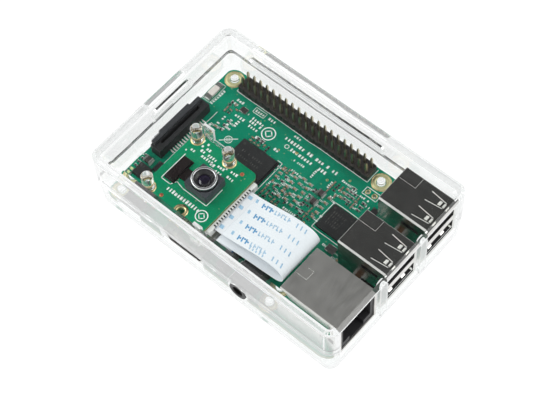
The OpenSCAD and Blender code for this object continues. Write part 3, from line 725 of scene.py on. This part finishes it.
def laser_marks(middle, size, face, rows):
    """A ring at the chip's first pin and rows of faint strokes that spell nothing."""
    faint = Solids()
    faint.ring(middle.x - size.x * 0.38, middle.y + size.y * 0.38, 0.35, 0.22, *face)
    for row in range(rows):
        y = middle.y + size.y * (0.2 - 0.42 * row / max(rows - 1, 1))
        for i in range(int(size.x * 0.62 / 0.8)):
            if draw.random() < 0.85:
                x = middle.x - size.x * 0.3 + i * 0.8
                faint.strip((x, y), (x, y + draw.uniform(0.4, 0.7)), draw.uniform(0.14, 0.3), *face)
    return faint


def header_pins():
    """Square pins with tapered tips, on both sides of the board."""
    pins = Solids()
    half = 0.32
    for middle, size in islands("header_pins"):
        low, high = middle.z - size.z / 2, middle.z + size.z / 2
        rings = []
        for z, r in ((low, 0.16), (low + 0.45, half), (high - 0.75, half), (high, 0.13)):
            rings.append([(middle.x + x, middle.y + y, z) for x, y in rectangle(r, r)])
        pins.loft(rings)
    pins.finish("header_pins_tapered", "pins", "header_pins", edge=0.04)


def solder_fillets():
    """Cones of solder round the pins that come through the board's underside."""
    joints = Solids()
    under = -BOARD_T

    def cone(x, y, r, tall):
        waist = [(r * 0.98, under - 0.08), (r * 0.6, under - tall * 0.45)]
        joints.turned(x, y, [(r, under + 0.02), *waist, (r * 0.42, under - tall)], 14)

    for middle, _ in islands("header_pins"):
        cone(middle.x, middle.y, 0.85, 0.75)
    port_pins = (("usb_insert_rear", 4, 2.5), ("usb_insert_front", 4, 2.5), ("ethernet_insert", 5, 2.2))
    for node, rows, step in port_pins:
        middle, size = islands(node)[0]
        for row in range(rows):
            for x in (0, step):
                cone(middle.x - size.x * 0.3 + x, middle.y + (row - (rows - 1) / 2) * step, 0.7, 0.6)
    for node in ("usb_shell_rear", "usb_shell_front", "ethernet_shell"):
        middle, size = islands(node)[0]
        for sx in (-0.28, 0.14):
            for sy in (-1, 1):
                cone(middle.x + size.x * sx, middle.y + sy * size.y * 0.46, 1.1, 0.7)
    joints.finish("solder_joints", "solder", limit=60)


def copper_spots():
    """Two bare copper sighting marks on the camera board."""
    spots = Solids(CAMERA)
    for x, y in ((8.0, 9.8), (-5.4, -10.2)):
        spots.turned(x, y, [(0.65, 0.0), (0.65, 0.025), (0.1, 0.03)], 20)
    spots.finish("copper_spots", "copper")


def board_pads():
    """Gold test pads and open vias scattered between the parts."""
    pads = Solids()
    for x, y in (
        (21.2, 22.8), (35.6, 44.4), (38.8, 24.6), (52.6, 27.4), (57.2, 24.2), (70.2, 43.6), (14.2, 30.4),
    ):
        pads.turned(x, y, [(0.5, 0.0), (0.5, 0.03), (0.1, 0.035)], 20)
    for x, y in ((66.8, 41.2), (66.8, 38.4), (54.0, 47.2), (48.6, 43.0), (30.6, 41.8), (9.4, 31.2)):
        pads.ring(x, y, 0.42, 0.2, 0.0, 0.03, 16)
    pads.finish("test_pads", "gold")


def mounting_rings(node, name, bands, origin=BOARD):
    """Plated rings round the holes: one band of metal after another, from the outside in."""
    for index, (outer, inner, material) in enumerate(bands):
        rings = Solids(origin)
        for middle, _ in islands(node, origin):
            rings.ring(middle.x, middle.y, outer, inner, 0.0, 0.05 - 0.008 * index, 40)
        rings.finish(f"{name}_{index + 1}", material, None if index else node)


def contact_feet(node, name, toward, origin=BOARD, hang=1):
    """Bent feet of a ribbon socket: each rises from its pad and turns in to the socket."""
    feet = Solids(origin)
    for middle, size in islands(node, origin):
        base = middle.z - hang * size.z / 2
        outer, inner = middle.x - toward * size.x / 2, middle.x + toward * (size.x / 2 + 0.3)
        rings = []
        for x, rise in ((outer, 0.08), (middle.x, 0.08), (middle.x + toward * 0.25, 0.3), (inner, 0.42)):
            rings.append([(x, middle.y + y, base + hang * rise + z) for y, z in rectangle(0.17, 0.07)])
        feet.loft(rings)
        feet.box(outer + toward * 0.3, middle.y, base if hang > 0 else base - 0.04, (1.1, 0.55, 0.04))
    feet.finish(name, "bright", node)


def comb_slot_shade():
    """Black blocks between the teeth of the ribbon latch's comb: the socket's dark contact openings there,
    and painted shade in the gaps.
    """
    low, high = span("ribbon_socket_latch", CAMERA)
    x, y = (low.x + high.x) / 2 + 0.12, (low.y + high.y) / 2
    slot_shade = Solids(CAMERA)
    for i in range(16):
        # painted shade over the contact openings: black blocks in the gaps between the teeth
        slot_shade.box(x, y + i - 7.5, high.z - 0.55, (0.62, 0.46, 0.47))
    slot_shade.finish("ribbon_latch_slot_shade", "black", body=BODY_OF["ribbon_socket_latch"], edge=0.03)


def folded_shell(node, material, top, crease=0.5, bend=0.3):
    """Stands in for a metal shell: a flat crease along its near top edge, soft bends at the top and back."""
    mesh = cad_mesh(node)
    back = min(v.co.x for v in mesh.verts)
    near = min(v.co.y for v in mesh.verts if v.co.x < back + 0.1 * MM)
    top = BOARD.z + top * MM

    def lies(edge, axis, place):
        return all(abs(v.co[axis] - place) < 0.02 * MM for v in edge.verts)

    def near_top(edge):
        return edge.calc_length() > 8 * MM and lies(edge, 2, top) and lies(edge, 1, near)

    def other_bends(edge):
        rise = abs(edge.verts[0].co.z - edge.verts[1].co.z)
        upright = lies(edge, 0, back) and rise > 5 * MM
        beyond = min(v.co.y for v in edge.verts) > near + 1 * MM
        level = lies(edge, 2, top) and (beyond or lies(edge, 0, back))
        return edge.calc_length() > 8 * MM and (upright or level)

    round_edges(mesh, crease * MM, 1, near_top)
    round_edges(mesh, bend * MM, 3, other_bends)
    shade_by_angle(mesh)
    make_piece(node + "_body", mesh, material, BODY_OF[node], node)


# Heights of the sills of a double USB socket's two mouths over the board
USB_MOUTHS = (1.6, 9.4)


def usb_top(name, low, high, top):
    """Lips of the stamped springs in a USB shell's top, and the seam where its sheet is joined."""
    y = (low.y + high.y) / 2
    leaves, seams = Solids(), Solids()
    for spring in (y - 3.05, y + 3.05):
        for side in (-1, 1):
            ends = [(high.x - 7.0, spring + side * 1.72), (high.x - 1.4, spring + side * 1.05)]
            leaves.ridge(ends, 0.26, top, top + 0.14)
        # the leaf's dimple, sloped so that it catches the light
        for x in (high.x - 3.0, high.x - 1.7):
            slope = ((x - 0.6, top - 0.25), (x + 0.5, top - 0.25), (x + 0.5, top + 0.3))
            leaves.loft([[(px, spring + side, z) for px, z in slope] for side in (-0.7, 0.7)])
    leaves.finish(f"usb_{name}_spring_leaves", "bright", edge=0.02)
    corner = (low.x + 6.2, high.y - 4.6)
    seams.ridge([(low.x + 0.3, corner[1]), corner, (corner[0], high.y - 0.9)], 0.12, top, top + 0.04)
    seams.finish(f"usb_{name}_seams", "dull_shell")


def usb_mouths(name, low, high):
    """Painted shade in each mouth, as a black sheet on its floor, with the two sprung tabs that press a plug
    against its tongue.
    """
    y = (low.y + high.y) / 2
    painted_shade, tabs = Solids(), Solids()
    for sill in USB_MOUTHS:
        # painted shade: a black sheet on the floor of each mouth
        painted_shade.box(high.x - 4.6, y, sill - 0.25, (8.2, 11.8, 0.3))
        tab = ((5.5, sill + 0.05), (0.9, sill + 0.05), (1.2, sill + 0.25), (2.4, sill + 0.75))
        for middle in (y - 2.9, y + 2.9):
            tabs.loft([[(high.x - inward, middle + side, z) for inward, z in tab] for side in (-0.8, 0.8)])
    painted_shade.finish(f"usb_{name}_mouth_painted_shade", "black", edge=0.05)
    tabs.finish(f"usb_{name}_mouth_springs", "bright", edge=0.05)


def usb_port(name):
    shell = "usb_shell_" + name
    low, high = span(shell)
    # the flange round the mouths stands proud of the shell's top
    top = high.z - 0.5
    folded_shell(shell, "shell", top)
    refine("usb_contacts_" + name, "gold", 0.04, 1)
    usb_top(name, low, high, top)
    usb_mouths(name, low, high)


def ethernet_port():
    low, high = span("ethernet_shell")
    folded_shell("ethernet_shell", "dull_shell", high.z, crease=0.25)
    refine("ethernet_contacts", "gold", 0.05, 1)
    near, far = (low.y + high.y) / 2 - 1.6, (low.y + high.y) / 2 + 1.6
    seams = Solids()
    seam = [(low.x + 0.3, near), (low.x + 4.2, near), (low.x + 4.2, far), (low.x + 2.2, far)]
    seams.ridge(seam, 0.14, high.z, high.z + 0.05)
    seams.finish("ethernet_seams", "bright")


def lens():
    """Bright turned ring, stepped black throat and a coated front element."""
    low, high = span("lens_barrel", CAMERA)
    x, y = (low.x + high.x) / 2, (low.y + high.y) / 2
    r, foot, top = (high.x - low.x) / 2, low.z, high.z
    groove = [(r, foot + 1.2), (r - 0.12, foot + 1.3), (r - 0.12, top - 1.1), (r, top - 1.0)]
    rim = [(r, top - 0.22), (r - 0.2, top), (r - 0.62, top), (r - 0.78, top - 0.18), (r - 0.86, top - 0.5)]
    ring = Solids(CAMERA)
    ring.turned(x, y, [(r, foot), *groove, *rim, (r - 0.86, foot)], 64, closed=True)
    ring.finish("lens_barrel_turned", "turned", "lens_barrel", limit=25)
    outer, ledge = r - 0.88, 0.25
    steps = [(outer, foot + 0.05), (outer, top - 0.42), (outer - ledge, top - 0.42)]
    for i in range(4):
        radius, depth = outer - ledge - 0.22 * i, top - 0.55 - 0.28 * i
        steps += [(radius, depth), (radius - 0.16, depth - 0.02)]
    steps.append((steps[-1][0], foot + 0.05))
    throat = Solids(CAMERA)
    throat.turned(x, y, steps, 64, closed=True)
    throat.finish("lens_throat", "lens_black", limit=25)
    glass_low, glass_high = span("lens_glass", CAMERA)
    glass_r, shoulder = outer - 1.05, glass_high.z - 0.75
    dome = [(glass_r, glass_low.z + 0.05), (glass_r, shoulder)]
    for i in range(1, 6):
        a = math.radians(15 * i)
        dome.append((glass_r * math.cos(a), shoulder + 0.6 * math.sin(a)))
    glass = Solids(CAMERA)
    glass.turned(x, y, dome)
    glass.finish("lens_front_element", "lens", "lens_glass", limit=60)


# ---- ribbon cable ----

RIBBON_T = 0.28
# The four rows of print, measured from the ribbon's middle
PRINT_ROWS = [6.2 - 4.1 * row for row in range(4)]


def bend_down(x, top, across, r, turn, steps, first=0):
    """Arc as (x, z) points that starts level at its top and turns down; across is its reach along x."""
    points = []
    for i in range(first, steps + 1):
        a = math.radians(90 - turn * i / steps)
        points.append((x + across * math.cos(a), top - r + r * math.sin(a)))
    return points


def ribbon_line():
    """The ribbon's middle line as (x, z) points, from the camera's socket round to the board's socket."""
    low, high = span("ribbon_cable")
    start_x, start_z = low.x + 0.1, span("ribbon_socket")[0].z + 1.25
    latch, latch_size = islands("camera_socket_latch")[0]
    top = high.z - 0.15
    bottom = latch.z + latch_size.z / 2 + 3.8
    curl = (top - bottom) / 2
    curl_x = curl * 1.12
    peak_x = high.x - 0.15 - curl_x
    fold_x, fold_r, fold_top = latch.x - 4.3, 0.6, bottom - 1.2
    points = []
    for i in range(40):
        t = i / 40
        rise = (1 - math.cos(math.pi * t)) / 2
        points.append((start_x + t * (peak_x - start_x), start_z + rise * (top - start_z)))
    points += bend_down(peak_x, top, curl_x, curl, 180, 32)
    for i in range(1, 25):
        t = i / 24
        points.append((peak_x + (fold_x - peak_x) * t, bottom + (fold_top - bottom) * t * t))
    points += bend_down(fold_x, fold_top, -fold_r, fold_r, 180, 16, first=1)
    level, plunge_r = fold_top - 2 * fold_r, 1.0
    points += bend_down(latch.x - plunge_r, level, plunge_r, plunge_r, 90, 8)
    drop = level - plunge_r - low.z
    points += [(latch.x, level - plunge_r - drop * i / 6) for i in range(1, 7)]
    return [Vector(p) for p in points]


# Lengths of ribbon that move with the lid and with the base, before its bend begins and after it ends
HELD_BY_LID = 3.0
HELD_BY_BASE = 9.0


class Ribbon:
    """The ribbon's path, measured along its length, and pieces laid on it."""

    def __init__(self):
        self.line = ribbon_line()
        self.reach = [0.0]
        for a, b in zip(self.line, self.line[1:]):
            self.reach.append(self.reach[-1] + (b - a).length)
        self.length = self.reach[-1]
        self.y_from = (CAMERA.y - BOARD.y) / MM
        self.y_to = islands("camera_socket")[0][0].y
        low, high = span("ribbon_cable")
        self.width = high.y - low.y - abs(self.y_from - self.y_to)

    def at(self, s):
        """Point and upward normal, in the x-z plane, at s millimetres along the ribbon."""
        s = min(max(s, 0.0), self.length)
        i = max(k for k, r in enumerate(self.reach[:-1]) if r <= s)
        a, b = self.line[i], self.line[i + 1]
        before, after = self.line[max(i - 1, 0)], self.line[min(i + 2, len(self.line) - 1)]
        t = (s - self.reach[i]) / (self.reach[i + 1] - self.reach[i])
        ahead = ((b - before).normalized() * (1 - t) + (after - a).normalized() * t).normalized()
        return a.lerp(b, t), Vector((-ahead.y, ahead.x))

    def patch(self, solids, s0, s1, v0, v1, low, high, slant=0.0, step=0.5):
        """A thin solid on the ribbon: s0 to s1 along it, v0 to v1 across, low to high over its middle."""
        count = max(2, int((s1 - s0) / step) + 1)
        rings = []
        for i in range(count):
            ring = []
            for v, lift in ((v0, low), (v1, low), (v1, high), (v0, high)):
                s = s0 + (s1 - s0) * i / (count - 1) + slant * (v - v0)
                point, up = self.at(s)
                y = self.y_from + (self.y_to - self.y_from) * s / self.length + v
                ring.append((point.x + up.x * lift, y, point.y + up.y * lift))
            rings.append(ring)
        solids.loft(rings)

    def lay(self, solids, name, material, edge=0.0):
        self.bend(solids.finish(name, material, body="", edge=edge))

    def bend(self, piece):
        """Lets a piece follow the lid at its upper end, the base at its lower end, and both in between."""
        piece.data.transform(piece.matrix_world)
        top, bottom = self.at(0)[0], self.at(self.length)[0]
        ends = [BOARD + Vector((p.x, self.y_from, p.y)) * MM for p in (top, bottom)]
        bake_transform(piece, "lid", "base", start=ends[0], end=ends[1])
        weights = piece.data.attributes["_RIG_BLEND"].data
        free = self.length - HELD_BY_LID - HELD_BY_BASE
        for vert, weight in zip(piece.data.vertices, weights):
            place = (vert.co - BOARD) / MM
            flat = Vector((place.x, place.z))
            nearest = min(range(len(self.line)), key=lambda i: (self.line[i] - flat).length_squared)
            t = min(max((self.reach[nearest] - HELD_BY_LID) / free, 0.0), 1.0)
            weight.value = t * t * (3 - 2 * t)


def ribbon_film(ribbon):
    film = Solids()
    half, t = ribbon.width / 2, RIBBON_T / 2
    ribbon.patch(film, 0.0, ribbon.length, -half, half, -t, t, step=0.4)
    round_edges(film.mesh, 0.06 * MM, 1)
    across = film.mesh.loops.layers.uv.new("UVMap")
    for face in film.mesh.faces:
        for loop in face.loops:
            place = (loop.vert.co - BOARD) / MM
            loop[across].uv = (place.x, place.y)
    shade_by_angle(film.mesh, 50)
    piece = make_piece("ribbon_film", film.mesh, "film", None, "ribbon_cable")
    ribbon.bend(piece)


def ribbon_print(ribbon):
    """Rows of slanted marks along the ribbon, bold and then paler, that spell nothing."""
    strong, pale = Solids(), Solids()

    def mark(solids, s, length, v0, v1):
        ribbon.patch(solids, s, s + length, v0, v1, RIBBON_T / 2, RIBBON_T / 2 + 0.02, -0.25)

    for row, v in enumerate(PRINT_ROWS):
        start = 6.6 + 0.55 * row
        mark(pale, start, 0.9, v - 0.3, v + 0.9)
        for i in range(3):
            s = start + 3.0 + 1.65 * i
            shift = v + 0.4 * (i % 2)
            mark(strong, s, 0.55, v - 0.8, v + 0.8)
            mark(strong, s + 0.5, 0.7, shift - 0.2, shift + 0.35)
        for i in range(5):
            s = start + 8.4 + 1.35 * i
            shift = v + 0.5 * (i % 3)
            mark(pale, s, 0.35, v - 0.7, v + 0.7)
            mark(pale, s + 0.3, 0.5, shift - 0.7, shift - 0.3)
        for i in range(3):
            mark(pale, start + 17.2 + 1.6 * i, 0.4, v - 0.7, v + 0.7)
    for i in range(5):
        mark(pale, 17.2 + 1.3 * i, 0.4, -7.6, -6.9)
    ribbon.lay(strong, "ribbon_print_strong", "blue_ink")
    ribbon.lay(pale, "ribbon_print_pale", "pale_blue_ink")


def ribbon_ends(ribbon):
    """Stiff backing at both ends, where the ribbon enters its sockets."""
    half, t = ribbon.width / 2, RIBBON_T / 2
    upper, marks, lower = Solids(), Solids(), Solids()
    ribbon.patch(upper, 2.6, 6.1, -half, half, t, t + 0.12)
    for v in PRINT_ROWS:
        ribbon.patch(marks, 3.7, 5.2, v - 0.6, v + 0.6, t + 0.12, t + 0.14, -0.2)
        ribbon.patch(marks, 3.0, 3.3, v - 1.4, v - 0.9, t + 0.12, t + 0.14)
    ribbon.patch(lower, ribbon.length - 4.8, ribbon.length - 0.3, -half, half, t, t + 0.1)
    ribbon.lay(upper, "ribbon_upper_stiffener", "stiffener", 0.03)
    ribbon.lay(marks, "ribbon_stiffener_marks", "pale_blue_ink")
    ribbon.lay(lower, "ribbon_lower_stiffener", "blue_stiffener", 0.03)


# ---- the whole object ----

# Nodes that keep their CAD shape, by material, with the width of their rounded edges
KEPT_SHAPES = {
    "black": {
        "usb_insert_rear": 0.06, "usb_insert_front": 0.06, "ethernet_insert": 0.06, "hdmi_tongue": 0.08,
        "power_socket_tongue": 0.06, "audio_socket": 0.12, "memory_card": 0.1, "display_socket": 0.12,
        "camera_socket": 0.1,
    },
    "shell": {"crystals": 0.15, "hdmi_shell": 0.1, "power_socket_shell": 0.12, "card_socket": 0.1},
    "grey": {"display_latch": 0.12, "camera_socket_latch": 0.1},
    "flex": {"sensor_flex": 0.08, "sensor_plug": 0.2},
    "header_black": {"header_block": 0.08},
    "lamp": {"ethernet_lamps": 0.1},
    "dark_metal": {"audio_sleeve": 0.08},
    "cream": {"ribbon_socket": 0.1},
    "white_nylon": {"ribbon_socket_latch": 0.06},
    "housing": {"lens_housing": 0.15},
}


def build_kept_shapes():
    for node in ("case_base", "case_lid"):
        refine(node, "clear", 0, limit=10)
    for material, nodes in KEPT_SHAPES.items():
        for node, edge in nodes.items():
            refine(node, material, edge)


def build_board():
    refine("main_board", "board", 0.06, 1)
    main_board_print()
    underside_print()
    board_pads()
    solder_fillets()
    mounting_rings("mounting_rings", "mounting_ring", [(3.1, 2.75, "gold"), (2.75, 1.5, "pad_gold")])
    mounting_rings("reset_pads", "reset_ring", [(0.85, 0.55, "gold")])
    header_pins()
    packaged_chip("processor", "processor_package", 4, lid_inset=1.0)
    packaged_chip("network_chip", "network_package", 4)
    packaged_chip("memory_chip", "memory_package", 4, below=True)
    packaged_chip("wireless_chip", "wireless_package", 2, below=True)
    packaged_chip("power_regulator", "regulator_package", 1)
    for node, name, core in (
        ("ceramic_capacitors", "capacitors", "tan"), ("chip_resistors", "resistors", "dark_ceramic"),
        ("power_inductors", "inductors", "dark_ceramic"), ("bulk_capacitors", "bulk_capacitors", "brown"),
        ("input_fuse", "fuse", "fuse"), ("status_lamps", "lamps", "lamp"),
        ("chip_antenna", "antenna", "antenna"),
    ):
        chip_parts(node, name, core)
    tiny_parts()


def build_ports():
    usb_port("rear")
    usb_port("front")
    ethernet_port()
    contact_feet("display_contacts", "display_feet", -1)
    contact_feet("camera_socket_contacts", "camera_socket_feet", 1)


def build_camera():
    refine("camera_board", "camera_board", 0.06, 1)
    camera_board_print()
    copper_spots()
    mounting_rings("camera_board_rings", "camera_ring", [(2.2, 1.15, "gold")], CAMERA)
    lens()
    comb_slot_shade()
    contact_feet("ribbon_socket_contacts", "ribbon_socket_feet", 1, CAMERA, -1)
    chip_parts("camera_board_parts", "camera_parts", "tan", CAMERA, below=True)


def build_ribbon():
    ribbon = Ribbon()
    ribbon_film(ribbon)
    ribbon_print(ribbon)
    ribbon_ends(ribbon)


# ---- stage, light and camera ----

# The camera's place: angles in degrees, its distance from the target and the target itself in millimetres
CAMERA_AZIMUTH = 44.1
CAMERA_ELEVATION = 59.8
CAMERA_ROLL = 3.9
CAMERA_DISTANCE = 444.9
CAMERA_TARGET = (1.95, -1.3, 12.0)
# Brightness of the studio's ceiling and of the black card, where its walls are 1
CEILING = 0.4
CARD = 0.12
# In metres
SOFTBOX_SIZE = 0.8
SOFTBOX_DISTANCE = 1.2


def direction(azimuth, elevation):
    """Unit vector that points away from the object; azimuth 0 is the side with the long row of ports."""
    a, e = math.radians(azimuth), math.radians(elevation)
    return Vector((math.sin(a) * math.cos(e), -math.cos(a) * math.cos(e), math.sin(e)))


def add_floor():
    """Pale floor that glows a little, so that it stays white without lighting everything from below."""
    mesh = bmesh.new()
    bmesh.ops.create_grid(mesh, x_segments=1, y_segments=1, size=3.0)
    data = bpy.data.meshes.new("floor")
    mesh.to_mesh(data)
    mesh.free()
    shader = Shader("pale_floor", {
        "Base Color": (0.12, 0.12, 0.12, 1), "Roughness": 0.9, "Specular IOR Level": 0.0,
        "Emission Color": (1, 1, 1, 1), "Emission Strength": 0.97,
    })
    data.materials.append(shader.material)
    floor = bpy.data.objects.new("floor", data)
    floor.location.z = cad_box[0].z - 0.2 * MM
    bpy.context.scene.collection.objects.link(floor)


def add_world():
    """White studio walls, a greyer ceiling, and a black card where level surfaces mirror it to the camera."""
    world = bpy.data.worlds.new("studio")
    world.use_nodes = True
    bpy.context.scene.world = world
    s = Nodes(world.node_tree)
    sky = s.outputs("TexCoord")["Generated"]
    behind = direction(CAMERA_AZIMUTH + 180, CAMERA_ELEVATION)
    toward_card = s.outputs("VectorMath", {0: sky, 1: behind}, operation="DOT_PRODUCT")["Value"]
    ceiling = s.between(s.axes(sky)[2], 0.5, 0.85, 1.0, CEILING)
    card = s.between(toward_card, 0.76, 0.92, 1.0, CARD)
    # light seen straight through the clear walls comes from a plain white room
    mirrored = s.outputs("LightPath")["Glossy Depth"]
    room = s.node("Mix", {"Factor": mirrored, "A": 0.9, "B": s.times(ceiling, card)})
    s.set(s.tree.nodes["Background"], {"Color": room, "Strength": 1.0})


def place_facing(thing, offset, away, roll=0.0):
    """Links an object that looks back along the direction away from which it stands."""
    thing.location = offset
    thing.rotation_mode = "QUATERNION"
    turn = Quaternion((0, 0, 1), math.radians(-roll))
    thing.rotation_quaternion = (-away).to_track_quat("-Z", "Y") @ turn
    bpy.context.scene.collection.objects.link(thing)


def add_softbox(name, azimuth, elevation, power):
    """Square soft light aimed at the object."""
    lamp = bpy.data.lights.new(name, "AREA")
    lamp.size = SOFTBOX_SIZE
    lamp.energy = power
    away = direction(azimuth, elevation)
    place_facing(bpy.data.objects.new(name, lamp), away * SOFTBOX_DISTANCE, away)


def add_camera():
    """The view from high over the corner between the long side's ports and the end's ports."""
    data = bpy.data.cameras.new("camera")
    data.sensor_width = 36
    data.lens = 98.5
    data.clip_start = 0.01
    camera = bpy.data.objects.new("camera", data)
    back = direction(CAMERA_AZIMUTH, CAMERA_ELEVATION)
    place_facing(camera, (Vector(CAMERA_TARGET) + back * CAMERA_DISTANCE) * MM, back, CAMERA_ROLL)
    bpy.context.scene.camera = camera


build_kept_shapes()
build_board()
build_ports()
build_camera()
build_ribbon()
add_floor()
add_world()
add_softbox("key_light", -65, 42, 5)
add_softbox("fill_light", 125, 38, 3)
add_camera()
bpy.context.scene.view_settings.view_transform = "Standard"
# light that bounces about inside the clear walls is followed far enough not to turn black
cycles = bpy.context.scene.cycles
cycles.max_bounces = 24
cycles.transmission_bounces = 24
cycles.glossy_bounces = 16
cycles.sample_clamp_indirect = 6
